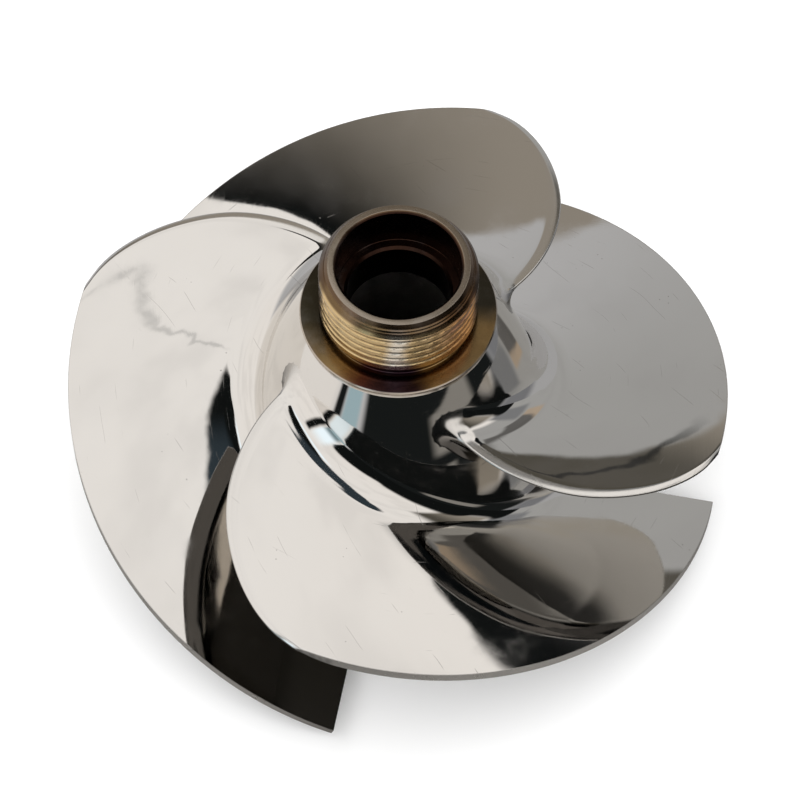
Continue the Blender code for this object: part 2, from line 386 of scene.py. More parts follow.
def calc(tree, operation, *values):
    """A Math node, and its output."""
    node = tree.nodes.new("ShaderNodeMath")
    node.operation = operation
    for socket, value in zip(node.inputs, values):
        set_input(tree, socket, value)
    return node.outputs[0]


def rise(tree, value, low, high, start=0.0, end=1.0):
    """A value that eases from start to end while another goes from low to high."""
    node = tree.nodes.new("ShaderNodeMapRange")
    node.interpolation_type = "SMOOTHSTEP"
    for name, item in (("Value", value), ("From Min", low), ("From Max", high), ("To Min", start), ("To Max", end)):
        set_input(tree, node.inputs[name], item)
    return node.outputs["Result"]


def inside(tree, value, low, high, soft):
    """A mask that is 1 between low and high, with soft edges."""
    return product(tree, rise(tree, value, low - soft, low + soft), rise(tree, value, high + soft, high - soft))


def blend(tree, factor, first, second):
    """A colour between two others."""
    node = tree.nodes.new("ShaderNodeMix")
    node.data_type = "RGBA"
    set_input(tree, node.inputs[0], factor)
    set_input(tree, node.inputs[6], first)
    set_input(tree, node.inputs[7], second)
    return node.outputs[2]


def product(tree, *values):
    """Several masks multiplied."""
    total = values[0]
    for value in values[1:]:
        total = calc(tree, "MULTIPLY", total, value)
    return total


def noise(tree, vector, scale, detail=2.0, roughness=0.5):
    """A Noise Texture, and its grey output."""
    node = tree.nodes.new("ShaderNodeTexNoise")
    set_input(tree, node.inputs["Vector"], vector)
    node.inputs["Scale"].default_value = scale
    node.inputs["Detail"].default_value = detail
    node.inputs["Roughness"].default_value = roughness
    return node.outputs["Fac"]


def shaken(tree, value, vector, scale, amount, detail=2.0):
    """A value that a noise moves up and down by the amount at most."""
    shift = calc(tree, "MULTIPLY", calc(tree, "SUBTRACT", noise(tree, vector, scale, detail), 0.5), 2 * amount)
    return calc(tree, "ADD", value, shift)


def curve(tree, value, points, low, high):
    """A smooth curve through listed points. Both ways, low and high bound what the points hold."""
    node = tree.nodes.new("ShaderNodeFloatCurve")
    line = node.mapping.curves[0]
    scaled = [((x - low[0]) / (high[0] - low[0]), (y - low[1]) / (high[1] - low[1])) for x, y in points]
    line.points[0].location = scaled[0]
    line.points[1].location = scaled[-1]
    for point in scaled[1:-1]:
        line.points.new(*point)
    for point in line.points:
        point.handle_type = "AUTO_CLAMPED"
    node.mapping.update()
    share = calc(tree, "DIVIDE", calc(tree, "SUBTRACT", value, low[0]), high[0] - low[0])
    set_input(tree, node.inputs["Value"], share)
    return calc(tree, "ADD", calc(tree, "MULTIPLY", node.outputs[0], high[1] - low[1]), low[1])


def voronoi(tree, vector, scale):
    """Distance to the nearest of many scattered points."""
    node = tree.nodes.new("ShaderNodeTexVoronoi")
    set_input(tree, node.inputs["Vector"], vector)
    node.inputs["Scale"].default_value = scale
    return node.outputs["Distance"]


def joined(tree, x, y, z):
    """A vector from three values."""
    node = tree.nodes.new("ShaderNodeCombineXYZ")
    for socket, value in zip(node.inputs, (x, y, z)):
        set_input(tree, socket, value)
    return node.outputs[0]


def places_on(tree):
    """Where a point lies on the impeller: position, x, y, z, distance from the axis."""
    position = tree.nodes.new("ShaderNodeTexCoord").outputs["Object"]
    split = tree.nodes.new("ShaderNodeSeparateXYZ")
    tree.links.new(position, split.inputs[0])
    x, y, z = split.outputs
    square = calc(tree, "ADD", calc(tree, "MULTIPLY", x, x), calc(tree, "MULTIPLY", y, y))
    return position, x, y, z, calc(tree, "SQRT", square)


def round_axis(tree, x, y, z, radius, along, across):
    """Coordinates that stretch a noise into lines round the axis: along is per turn, across is per metre."""
    return joined(tree, calc(tree, "MULTIPLY", calc(tree, "DIVIDE", x, radius), along),
                  calc(tree, "MULTIPLY", calc(tree, "DIVIDE", y, radius), along),
                  calc(tree, "MULTIPLY", calc(tree, "SUBTRACT", z, radius), across))


def new_group(name, inputs, outputs):
    """An empty node group with its sockets, each a (name, kind) pair, and its two end nodes."""
    group = bpy.data.node_groups.new(name, "ShaderNodeTree")
    for side, sockets in (("INPUT", inputs), ("OUTPUT", outputs)):
        for label, kind in sockets:
            group.interface.new_socket(label, in_out=side, socket_type="NodeSocket" + kind)
    return group, group.nodes.new("NodeGroupInput"), group.nodes.new("NodeGroupOutput")


def worn_group():
    """Haze, fine lines, specks and scratches for any of the metals, made once."""
    group = bpy.data.node_groups.get("worn metal")
    if group:
        return group
    inputs = (("Color", "Color"), ("Roughness", "Float"), ("Lines", "Float"), ("Waves", "Float"), ("Wear", "Float"))
    outputs = (("Color", "Color"), ("Roughness", "Float"), ("Height", "Float"))
    tree, given, result = new_group("worn metal", inputs, outputs)
    position, x, y, z, radius = places_on(tree)

    # Fine lines from polishing and turning, stronger in some patches than in others
    fine = noise(tree, round_axis(tree, x, y, z, radius, 9.0, 2600.0), 1.0, detail=3.0, roughness=0.6)
    fine = calc(tree, "SUBTRACT", fine, 0.5)
    patches = rise(tree, noise(tree, position, 45.0), 0.40, 0.68, 0.25, 1.0)
    fine = product(tree, fine, patches, given.outputs["Lines"])

    # Hazy patches and small dark specks
    haze = rise(tree, noise(tree, position, 60.0, detail=6.0, roughness=0.62), 0.50, 0.74)
    haze = product(tree, haze, given.outputs["Wear"])
    specks = rise(tree, voronoi(tree, position, 420.0), 0.075, 0.040)
    specks = product(tree, specks, rise(tree, noise(tree, position, 85.0), 0.60, 0.66), given.outputs["Wear"])

    # Short hairline scratches of two kinds, round the axis and slantwise, each with its own patches
    slant = calc(tree, "ADD", calc(tree, "MULTIPLY", x, 0.8), calc(tree, "MULTIPLY", y, 0.6))
    scratch = 0.0
    for course, gap, size in ((radius, 0.0043, 105.0), (slant, 0.0067, 88.0)):
        across = shaken(tree, calc(tree, "DIVIDE", course, gap), position, 25.0, 0.8)
        off_line = calc(tree, "ABSOLUTE", calc(tree, "SUBTRACT", calc(tree, "FRACT", across), 0.5))
        patches = rise(tree, noise(tree, position, size), 0.60, 0.67)
        scratch = calc(tree, "MAXIMUM", scratch, calc(tree, "MULTIPLY", rise(tree, off_line, 0.014, 0.004), patches))
    scratch = calc(tree, "MULTIPLY", scratch, given.outputs["Wear"])

    marks = calc(tree, "MAXIMUM", specks, calc(tree, "MULTIPLY", scratch, 0.5))
    dark = blend(tree, calc(tree, "MULTIPLY", marks, 0.55), given.outputs["Color"], (0.10, 0.09, 0.08))
    set_input(tree, result.inputs["Color"], blend(tree, calc(tree, "MULTIPLY", haze, 0.10), dark, (0.9, 0.89, 0.88)))
    rough = calc(tree, "ADD", given.outputs["Roughness"], calc(tree, "MULTIPLY", haze, 0.09))
    rough = calc(tree, "ADD", rough, calc(tree, "MULTIPLY", fine, 0.12))
    rough = calc(tree, "ADD", rough, calc(tree, "MULTIPLY", marks, 0.25))
    set_input(tree, result.inputs["Roughness"], calc(tree, "MAXIMUM", rough, 0.012))

    # Height in millimetres: slow waves from hand polishing, then the lines and the marks
    waves = calc(tree, "MULTIPLY", calc(tree, "SUBTRACT", noise(tree, position, 75.0, detail=1.0), 0.5), 0.05)
    height = product(tree, waves, given.outputs["Waves"])
    height = calc(tree, "ADD", height, calc(tree, "MULTIPLY", fine, 0.0016))
    height = calc(tree, "SUBTRACT", height, calc(tree, "MULTIPLY", marks, 0.004))
    set_input(tree, result.inputs["Height"], height)
    return tree


def new_metal(name, colour, roughness, lines, waves, wear):
    """A metal with the worn group on it. Colour and roughness may be values, or made by a function of the tree."""
    mat = bpy.data.materials.new(name)
    mat.use_nodes = True
    tree = mat.node_tree
    shader = tree.nodes["Principled BSDF"]
    shader.inputs["Metallic"].default_value = 1.0
    worn = tree.nodes.new("ShaderNodeGroup")
    worn.node_tree = worn_group()
    given = {"Color": colour, "Roughness": roughness, "Lines": lines, "Waves": waves, "Wear": wear}
    for label, value in given.items():
        set_input(tree, worn.inputs[label], value(tree) if callable(value) else value)
    bump = tree.nodes.new("ShaderNodeBump")
    bump.inputs["Distance"].default_value = 0.001
    tree.links.new(worn.outputs["Color"], shader.inputs["Base Color"])
    tree.links.new(worn.outputs["Roughness"], shader.inputs["Roughness"])
    tree.links.new(worn.outputs["Height"], bump.inputs["Height"])
    tree.links.new(bump.outputs["Normal"], shader.inputs["Normal"])
    return mat


def stored(tree, name):
    """A value that a blade's skin carries."""
    node = tree.nodes.new("ShaderNodeAttribute")
    node.attribute_name = name
    return node.outputs["Fac"]


def polished_steel(name, finish, waves):
    """Mirror-polished steel, duller on the turned tip faces, with a band of painted shade on the rear side behind the
    leading edge.
    """
    def colour(tree):
        position, x, y, z, radius = places_on(tree)
        turned = rise(tree, radius, TIP_RADIUS - 0.00025, TIP_RADIUS - 0.00008)
        tone = blend(tree, noise(tree, position, 22.0, detail=3.0), [c * 0.965 for c in finish.steel],
                     [min(1.0, c * 1.03) for c in finish.steel])
        # Painted shade: a near black band on the rear side, within about 8 mm of the leading edge, which darkens what
        # the other blades reflect of that face
        behind = shaken(tree, stored(tree, "behind_edge"), position, 60.0, 0.001)
        painted_rear_shade = product(tree, stored(tree, "rear_side"), rise(tree, behind, 0.0095, 0.0075))
        tone = blend(tree, painted_rear_shade, tone, (0.10, 0.095, 0.09))
        return blend(tree, calc(tree, "MULTIPLY", turned, 0.6), tone, (0.52, 0.51, 0.50))

    def roughness(tree):
        position, x, y, z, radius = places_on(tree)
        edge = product(tree, rise(tree, stored(tree, "behind_edge"), 0.0024, 0.0012), stored(tree, "thin_edge"), 0.15)
        tip = rise(tree, radius, TIP_RADIUS - 0.00025, TIP_RADIUS - 0.00008, 0.032, 0.24)
        return calc(tree, "MAXIMUM", edge, tip)

    return new_metal(name, colour, roughness, 1.0, waves, finish.wear)


def satin_steel(name, finish):
    """The steel inside the rear recess, as cast and blasted."""
    def colour(tree):
        position = places_on(tree)[0]
        return blend(tree, noise(tree, position, 160.0, detail=5.0, roughness=0.65), (0.30, 0.29, 0.275),
                     (0.46, 0.45, 0.43))

    def roughness(tree):
        position = places_on(tree)[0]
        return rise(tree, noise(tree, position, 420.0, detail=4.0), 0.3, 0.7, 0.38, 0.56)

    return new_metal(name, colour, roughness, 0.6, 0.8, finish.wear)


def tinted_steel_with_painted_light(name, nose, finish):
    """Turned steel with heat colours, partly painted light by the angle round the axis: straw on the thread with a
    painted highlight in front and painted shade towards the sides, browns and purples round the shoulder with painted
    shade at its front and sides, black in the bore.
    """
    def colour(tree):
        position, x, y, z, radius = places_on(tree)
        around = directions(tree, x, y, z)[0]
        around = shaken(tree, around, position, 130.0, 10.0, detail=2.0)
        mottle = noise(tree, position, 420.0, detail=5.0, roughness=0.6)
        rings = noise(tree, round_axis(tree, x, y, z, radius, 2.0, 1500.0), 1.0, detail=3.0)
        brown = tuple(finish.brown)
        straw = tuple(finish.straw)

        # Thread: straw heat tint, pale in front and more orange to the right, partly painted light by the angle round
        # the axis, with a painted highlight in front and painted shade, nearly black, towards the back of both sides
        tint = blend(tree, rise(tree, around, 12.0, 48.0), straw, (0.50, 0.27, 0.11))
        tint = blend(tree, product(tree, rise(tree, rings, 0.50, 0.68), rise(tree, around, 20.0, 50.0), 0.6), tint,
                     (0.26, 0.13, 0.14))
        tint = blend(tree, product(tree, rise(tree, rings, 0.50, 0.72), 0.25), tint, brown)
        # Painted highlight: a pale, nearly white strip on the thread in front
        tint = blend(tree, product(tree, inside(tree, around, -9.0, 6.0, 6.0), 0.85), tint, (1.0, 0.95, 0.86))
        # Painted shade: the thread goes nearly black towards both sides, less so at the very back
        dark = calc(tree, "MAXIMUM", rise(tree, around, 64.0, 78.0), rise(tree, around, -68.0, -80.0))
        back = rise(tree, calc(tree, "ABSOLUTE", around), 118.0, 150.0)
        dark = product(tree, dark, calc(tree, "SUBTRACT", 1.0, calc(tree, "MULTIPLY", back, 0.8)))
        tint = blend(tree, dark, tint, (0.075, 0.050, 0.032))
        # Painted shade: the thread's grooves turn dark brown as they deepen
        groove = rise(tree, radius, nose.thread_radius - 0.00012, nose.thread_radius - 0.0006)
        tint = blend(tree, product(tree, groove, 0.85), tint, (0.10, 0.055, 0.026))

        # Chamfer and rim above it
        above = calc(tree, "SUBTRACT", z, RIM_HEIGHT)
        tint = blend(tree, rise(tree, above, -0.0011, -0.0007), tint, (0.15, 0.095, 0.055))
        rim = blend(tree, rings, (0.26, 0.215, 0.17), (0.46, 0.40, 0.33))
        tint = blend(tree, rise(tree, above, -0.00010, -0.00002), tint, rim)

        # Shoulder: heat tint, dark purple in front, golden brown with specks to the right, olive brown to the left,
        # partly painted light by the angle round the axis: the dark front is partly painted shade, and the nearly black
        # sides are painted shade
        plate = blend(tree, rise(tree, around, -34.0, -84.0), (0.27, 0.18, 0.08), (0.050, 0.043, 0.028))
        gold = blend(tree, mottle, (0.30, 0.19, 0.08), (0.50, 0.35, 0.17))
        plate = blend(tree, rise(tree, around, 14.0, 30.0), plate, gold)
        # Painted shade: nearly black towards the right side
        plate = blend(tree, rise(tree, around, 72.0, 100.0), plate, (0.060, 0.055, 0.042))
        plate = blend(tree, calc(tree, "MULTIPLY", back, 0.8), plate, gold)
        # Dark purple and red in front: heat tint, partly painted shade
        plate = blend(tree, inside(tree, around, -32.0, 17.0, 8.0), plate,
                      blend(tree, rise(tree, around, -8.0, -30.0), tuple(finish.purple), (0.11, 0.040, 0.030)))
        low = rise(tree, z, SHOULDER_HEIGHT + 0.0009, SHOULDER_HEIGHT + 0.0003)
        tint = blend(tree, low, tint, plate)
        edge = calc(tree, "ADD", radius, calc(tree, "MULTIPLY", mottle, 0.0001))
        tint = blend(tree, product(tree, rise(tree, edge, 0.02235, 0.02248), low), tint, (0.50, 0.44, 0.38))
        below = rise(tree, shaken(tree, z, position, 300.0, 0.0005), JOINT_HEIGHT + 0.0014, JOINT_HEIGHT + 0.0004)
        tint = blend(tree, below, tint, tuple(finish.steel))

        # Bore: near black with a little red
        bore = product(tree, rise(tree, radius, 0.0150, 0.0146), rise(tree, above, -0.00010, -0.0004))
        bore_black = blend(tree, mottle, (0.012, 0.008, 0.007), (0.060, 0.028, 0.018))
        return blend(tree, bore, tint, bore_black)

    def roughness(tree):
        position, x, y, z, radius = places_on(tree)
        turned = noise(tree, round_axis(tree, x, y, z, radius, 3.0, 2200.0), 1.0, detail=3.0)
        smooth = rise(tree, z, SHOULDER_HEIGHT + 0.0006, SHOULDER_HEIGHT + 0.0002, 0.20, 0.15)
        return calc(tree, "ADD", smooth, calc(tree, "MULTIPLY", turned, 0.10))

    return new_metal(name, colour, roughness, 2.0, 0.3, finish.wear)


class IMPELLER_OT_hub(bpy.types.Operator):
    """Build the polished hub"""
    bl_idname = "impeller.hub"
    bl_label = "Build hub"

    def execute(self, context):
        hub = context.scene.impeller_hub
        finish = context.scene.impeller_finish
        chamfer = 0.0006
        boss_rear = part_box("hub")[0].z + 0.0080
        recess_top = 0.0440
        boss = 0.0175
        outline = []
        rows = 90
        for i in range(rows + 1):
            height = JOINT_HEIGHT + (chamfer - JOINT_HEIGHT) * i / rows
            outline.append((hub_radius(hub, height), height))
        outline.append((hub_radius(hub, 0.0) - chamfer, 0.0))
        wall_rows = 12
        for i in range(wall_rows + 1):
            height = 0.9 * recess_top * i / wall_rows
            outline.append((hub_radius(hub, height) - hub.wall, height))
        outline += [(boss + 0.0030, recess_top - 0.0012), (boss + 0.0015, recess_top), (boss + 0.0005, recess_top - 0.0004),
                    (boss, recess_top - 0.0015), (boss, boss_rear + chamfer), (boss - chamfer, boss_rear),
                    (BORE_RADIUS + chamfer, boss_rear), (BORE_RADIUS, boss_rear + chamfer), (BORE_RADIUS, JOINT_HEIGHT)]
        bm = spun(outline, hub.steps)
        for face in bm.faces:
            middle = face.calc_center_median()
            outer = hub_radius(hub, middle.z) - hub.wall / 2
            if math.hypot(middle.x, middle.y) < outer and middle.z > 0.0001:
                face.material_index = 1
        metals = [polished_steel("polished hub steel", finish, 0.8), satin_steel("satin recess steel", finish)]
        piece = new_piece("polished_hub", bm, metals)
        piece.data.shade_smooth()
        piece.data.set_sharp_from_angle(angle=math.radians(25))
        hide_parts("hub")
        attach(piece, "root")
        return {"FINISHED"}


def groove_depth(nose, z, around):
    """How deep the thread's groove is at a height and an angle, from 0 on a crest to 1 at its foot.

    The groove winds down clockwise as seen from the nose. It starts and ends by growing out of the surface.
    """
    turn = around / 360.0
    down = (RIM_HEIGHT - FIRST_GROOVE - z) / nose.pitch
    nearest = round(down + turn)
    off = down + turn - nearest
    wound = nearest - turn
    width = GROOVE_SHARE
    strength = min(1.0, max(0.0, (wound + 0.32) / 0.25)) * min(1.0, max(0.0, (nose.turns - wound) / 0.25))
    return strength * max(0.0, 1.0 - abs(off) / width) ** 0.7


class IMPELLER_OT_nose(bpy.types.Operator):
    """Build the threaded nose"""
    bl_idname = "impeller.nose"
    bl_label = "Build nose"

    def execute(self, context):
        nose = context.scene.impeller_nose
        hub = context.scene.impeller_hub
        finish = context.scene.impeller_finish
        top = RIM_HEIGHT
        shoulder = SHOULDER_HEIGHT
        crest = nose.thread_radius
        ledge = top - 0.0110
        thread_top = top - 0.0006
        thread_foot = shoulder + 0.0028
        outline = [(0.0160, top), (0.0161, top - 0.00003)]
        rows = 160
        for i in range(rows + 1):
            outline.append((crest, thread_top + (thread_foot - thread_top) * i / rows))
        outline += [(crest - 0.0001, thread_foot - 0.0001), (0.0169, thread_foot - 0.0006), (0.0169, shoulder - 0.0002),
                    (0.0170, shoulder - 0.0003), (0.0179, shoulder - 0.0003), (0.0180, shoulder - 0.00022),
                    (0.0180, shoulder - 0.00005), (0.01808, shoulder), (0.0222, shoulder), (0.02235, shoulder - 0.00003),
                    (0.0226, shoulder - 0.0003), (0.02262, shoulder - 0.0006), (0.02255, shoulder - 0.0009),
                    (hub_radius(hub, JOINT_HEIGHT), JOINT_HEIGHT), (BORE_RADIUS, JOINT_HEIGHT),
                    (BORE_RADIUS, ledge - 0.0006), (BORE_RADIUS + 0.0006, ledge), (0.0141, ledge), (0.0142, ledge + 0.0001),
                    (0.0142, top - 0.0006), (0.0147, top - 0.00008), (0.0148, top)]
        bm = spun(outline, nose.steps)
        for vert in bm.verts:
            radius = math.hypot(vert.co.x, vert.co.y)
            if abs(radius - crest) > 0.00001:
                continue
            around = math.degrees(math.atan2(vert.co.x, -vert.co.y))
            down = top - vert.co.z
            out = min(crest, TAPER_START + TAPER_SLOPE * (down - 0.0006))
            out -= 0.00013 * max(0.0, 1 - abs(down - 0.0012) / 0.00018)
            out -= 0.00016 * max(0.0, 1 - abs(down - 0.0018) / 0.00020) * min(1.0, max(0.0, (around + 40) / 60))
            out -= (crest - nose.root_radius) * groove_depth(nose, vert.co.z, around)
            vert.co.x *= out / radius
            vert.co.y *= out / radius
        piece = new_piece("tinted_nose", bm, [tinted_steel_with_painted_light("heat tinted steel with painted light", nose, finish)])
        piece.data.shade_smooth()
        piece.data.set_sharp_from_angle(angle=math.radians(30))
        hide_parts("threaded_nose")
        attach(piece, "root")
        return {"FINISHED"}


class IMPELLER_OT_blades(bpy.types.Operator):
    """Build the four polished blades"""
    bl_idname = "impeller.blades"
    bl_label = "Build blades"

    def execute(self, context):
        hub = context.scene.impeller_hub
        blade = context.scene.impeller_blade
        finish = context.scene.impeller_finish
        steel = polished_steel("polished blade steel", finish, 1.0)
        skin = blade_skin(hub, blade)
        for i in range(BLADE_COUNT):
            bm = skin.copy()
            bmesh.ops.rotate(bm, verts=bm.verts, cent=(0, 0, 0),
                             matrix=Matrix.Rotation(math.tau * i / BLADE_COUNT, 3, "Z"))
            piece = new_piece(f"polished_blade_{i + 1}", bm, [steel])
            piece.data.shade_smooth()
            piece.data.set_sharp_from_angle(angle=math.radians(35))
            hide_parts(f"blade_{i + 1}")
            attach(piece, "root")
        skin.free()
        return {"FINISHED"}


# The studio as the polished metal sees it. Around is 0 at the camera's side and 90 at +X, up is 90 overhead.
CREAM_LOW = (0.94, 0.905, 0.87)
CREAM_HIGH = (0.95, 0.925, 0.90)
PALE_GREY = (0.49, 0.49, 0.50)
MID_GREY = (0.39, 0.39, 0.385)
WARM_GREY = (0.30, 0.27, 0.23)
DARK_BROWN = (0.085, 0.078, 0.064)
BLACK = (0.006, 0.007, 0.007)
BLUE_BLACK = (0.030, 0.042, 0.052)
BLUE_WHITE = (1.05, 1.20, 1.30)
TEAL_GREY = (0.22, 0.30, 0.33)
TAN = (0.42, 0.35, 0.29)
LOWEST = (-180.0, -30.0)
HIGHEST = (180.0, 90.0)
FRONT_TOP = ((-180, -30), (-34, -30), (-31, -4), (-28, 12), (-24, 23), (-18, 26), (-10, 25), (0, 22), (10, 19),
             (30, 18.5), (60, 18.5), (70, 17.5), (75, 15), (79, 11.5), (88, 11), (94, 11.5), (100, 13), (104, 11.5),
             (107, 6), (110, -6), (113, -30), (180, -30))
CARD_TOP = ((-180, 60), (-36, 60), (-30, 65), (-20, 70), (-8, 71.5), (10, 72.5), (28, 72), (45, 70), (65, 68),
            (73, 66.5), (78, 62), (80.5, 57), (86, 54.5), (94, 53), (98, 50), (102, 44), (180, 44))
CARD_FOOT = ((-180, 62), (-30, 62), (-10, 61), (15, 61), (30, 60), (42, 57.5), (60, 53.5), (75, 50.5), (88, 46.5),
             (98, 45.5), (104, 60), (180, 60))
SLIT_PLACE = ((-10, -54), (0, -50), (20, -44), (40, -35), (48, -29), (60, -22), (90, -20))
SLIT_LOWEST = (-10.0, -90.0)
SLIT_HIGHEST = (90.0, 0.0)
SEAM = ((-180, 79), (-128, 78), (-117, 74.5), (-105, 77), (-90, 79), (-75, 79.5), (-60, 77.5), (-45, 76.5), (-38, 74.5),
        (-29, 70), (-20, 62), (180, 62))
WALL_FOOT = ((-100, 40), (-46.5, 40), (-45, 35), (-43, 31.5), (-38, 30), (-31, 28), (-28, 24), (-20, 25), (-14, 29),
             (-10, 31), (0, 31), (14, 30), (22, 26), (30, 24), (38, 29), (48, 34), (66, 37), (100, 37))
WALL_TOP = ((-100, 30), (-56, 30), (-46.5, 33), (-45, 37.5), (-42, 38.5), (-40, 39.5), (-38, 41.5), (-36, 42),
            (-33.5, 41), (-30.5, 38), (-28.5, 60), (-20, 62), (0, 62), (30, 50), (50, 55), (59, 60), (62, 50), (65, 38),
            (68, 30), (100, 30))
WALL_LOWEST = (-100.0, -30.0)
WALL_HIGHEST = (100.0, 90.0)


def directions(tree, x, y, z):
    """Around from the camera's side, behind from the far side, and up, in degrees."""
    around = calc(tree, "DEGREES", calc(tree, "ARCTAN2", x, calc(tree, "MULTIPLY", y, -1.0)))
    behind = calc(tree, "DEGREES", calc(tree, "ARCTAN2", calc(tree, "MULTIPLY", x, -1.0), y))
    up = calc(tree, "DEGREES", calc(tree, "ARCSINE", z))
    return around, behind, up


def between(tree, up, foot, top, soft):
    """A mask for the strip between two curves."""
    above = rise(tree, calc(tree, "SUBTRACT", up, foot), -soft, soft)
    below = rise(tree, calc(tree, "SUBTRACT", top, up), -soft, soft)
    return calc(tree, "MULTIPLY", above, below)


def room_colour(tree, direction):
    """The colour of the studio in a direction."""
    split = tree.nodes.new("ShaderNodeSeparateXYZ")
    tree.links.new(direction, split.inputs[0])
    around, behind, up = directions(tree, *split.outputs)
    wavy = shaken(tree, up, direction, 9.0, 2.0, detail=4.0)

    # Cream cloth overhead and all round, with one thin grey seam
    colour = blend(tree, rise(tree, up, 20.0, 75.0), CREAM_LOW, CREAM_HIGH)
    seam = curve(tree, around, SEAM, LOWEST, HIGHEST)
    off_seam = calc(tree, "ABSOLUTE", calc(tree, "SUBTRACT", shaken(tree, up, direction, 26.0, 2.2, detail=3.0), seam))
    seam_mask = product(tree, rise(tree, off_seam, 0.8, 0.15), inside(tree, around, -125.0, -32.0, 4.0))
    colour = blend(tree, calc(tree, "MULTIPLY", seam_mask, 0.5), colour, MID_GREY)

    # Grey table behind, paler to the left, and a brown wall above it
    grey = blend(tree, rise(tree, behind, -8.0, 24.0), MID_GREY, PALE_GREY)
    grey_mask = product(tree, inside(tree, behind, -75.0, 57.0, 4.0), rise(tree, up, 38.0, 33.0))
    colour = blend(tree, grey_mask, colour, grey)
    foot = curve(tree, behind, WALL_FOOT, WALL_LOWEST, WALL_HIGHEST)
    top = curve(tree, behind, WALL_TOP, WALL_LOWEST, WALL_HIGHEST)
    wall = blend(tree, rise(tree, behind, 20.0, 62.0), WARM_GREY, BLACK)
    shade = product(tree, rise(tree, behind, -9.0, -15.0), rise(tree, calc(tree, "ADD", behind, up), 24.0, 19.0))
    wall = blend(tree, shade, wall, DARK_BROWN)
    wall = blend(tree, rise(tree, behind, -28.5, -30.0), wall, BLACK)
    corner = product(tree, rise(tree, calc(tree, "ADD", around, up), 187.0, 192.0), inside(tree, around, 138.5, 176.0, 1.5),
                     inside(tree, up, 43.5, 72.0, 2.0))
    colour = blend(tree, corner, colour, (0.20, 0.20, 0.195))
    colour = blend(tree, between(tree, wavy, foot, top, 1.0), colour, wall)
    off_line = calc(tree, "ABSOLUTE", calc(tree, "SUBTRACT", shaken(tree, up, direction, 30.0, 1.2, detail=3.0), 29.7))
    line = product(tree, rise(tree, off_line, 0.75, 0.2), inside(tree, behind, -28.0, -11.0, 2.5))
    colour = blend(tree, calc(tree, "MULTIPLY", line, 0.85), colour, BLACK)
    nook = product(tree, inside(tree, around, 131.0, 152.5, 2.0), inside(tree, up, 11.5, 24.0, 1.2))
    nook_colour = blend(tree, rise(tree, up, 14.5, 16.5), (0.46, 0.37, 0.28), (0.125, 0.122, 0.118))
    colour = blend(tree, nook, colour, nook_colour)
    folds = rise(tree, noise(tree, direction, 5.5, detail=3.0, roughness=0.45), 0.42, 0.70)
    colour = blend(tree, calc(tree, "MULTIPLY", folds, 0.12), colour, (0.27, 0.26, 0.265))
    patch = product(tree, inside(tree, around, 62.0, 96.0, 4.0), inside(tree, up, 11.0, 34.0, 3.0))
    colour = blend(tree, patch, colour, blend(tree, rise(tree, up, 14.0, 30.0), WARM_GREY, DARK_BROWN))
    glow = product(tree, inside(tree, around, 98.0, 128.0, 4.0), inside(tree, up, 6.0, 19.0, 2.0))
    colour = blend(tree, glow, colour, (0.22, 0.225, 0.235))

    # Black card along the front, with a bright blue-white slit at its left end
    front_top = curve(tree, around, FRONT_TOP, LOWEST, HIGHEST)
    low = rise(tree, calc(tree, "SUBTRACT", front_top, up), -2.5, 2.5)
    colour = blend(tree, low, colour, BLACK)
    slit = calc(tree, "SUBTRACT", around, curve(tree, up, SLIT_PLACE, SLIT_LOWEST, SLIT_HIGHEST))
    cool = product(tree, rise(tree, slit, 3.0, 6.0), rise(tree, slit, 20.0, 14.0), rise(tree, up, 55.0, 25.0))
    colour = blend(tree, cool, colour, blend(tree, rise(tree, up, 2.0, 18.0), TEAL_GREY, BLUE_WHITE))
    edge = product(tree, inside(tree, slit, -2.5, 3.0, 1.5), rise(tree, up, 50.0, 43.0))
    colour = blend(tree, edge, colour, BLACK)

    # Dark card above the camera, with a bright edge below it
    foot = curve(tree, around, CARD_FOOT, LOWEST, HIGHEST)
    top = curve(tree, around, CARD_TOP, LOWEST, HIGHEST)
    flare = product(tree, inside(tree, calc(tree, "SUBTRACT", up, foot), -4.0, -1.0, 1.5),
                    inside(tree, around, -30.0, 22.0, 6.0))
    colour = blend(tree, flare, colour, BLUE_WHITE)
    card = blend(tree, rise(tree, around, 15.0, 45.0), BLACK, BLUE_BLACK)
    colour = blend(tree, between(tree, wavy, foot, top, 0.9), colour, card)
    return colour


def studio_world(scene):
    """White all round for the floor and the background, and the studio's cards for the polished metal."""
    world = bpy.data.worlds.new("studio")
    world.use_nodes = True
    world.cycles.sampling_method = "NONE"
    tree = world.node_tree
    background = tree.nodes["Background"]
    coordinates = tree.nodes.new("ShaderNodeTexCoord")
    rays = tree.nodes.new("ShaderNodeLightPath")
    room = room_colour(tree, coordinates.outputs["Generated"])
    set_input(tree, background.inputs["Color"], blend(tree, rays.outputs["Is Glossy Ray"], (1.65, 1.65, 1.65), room))
    scene.world = world


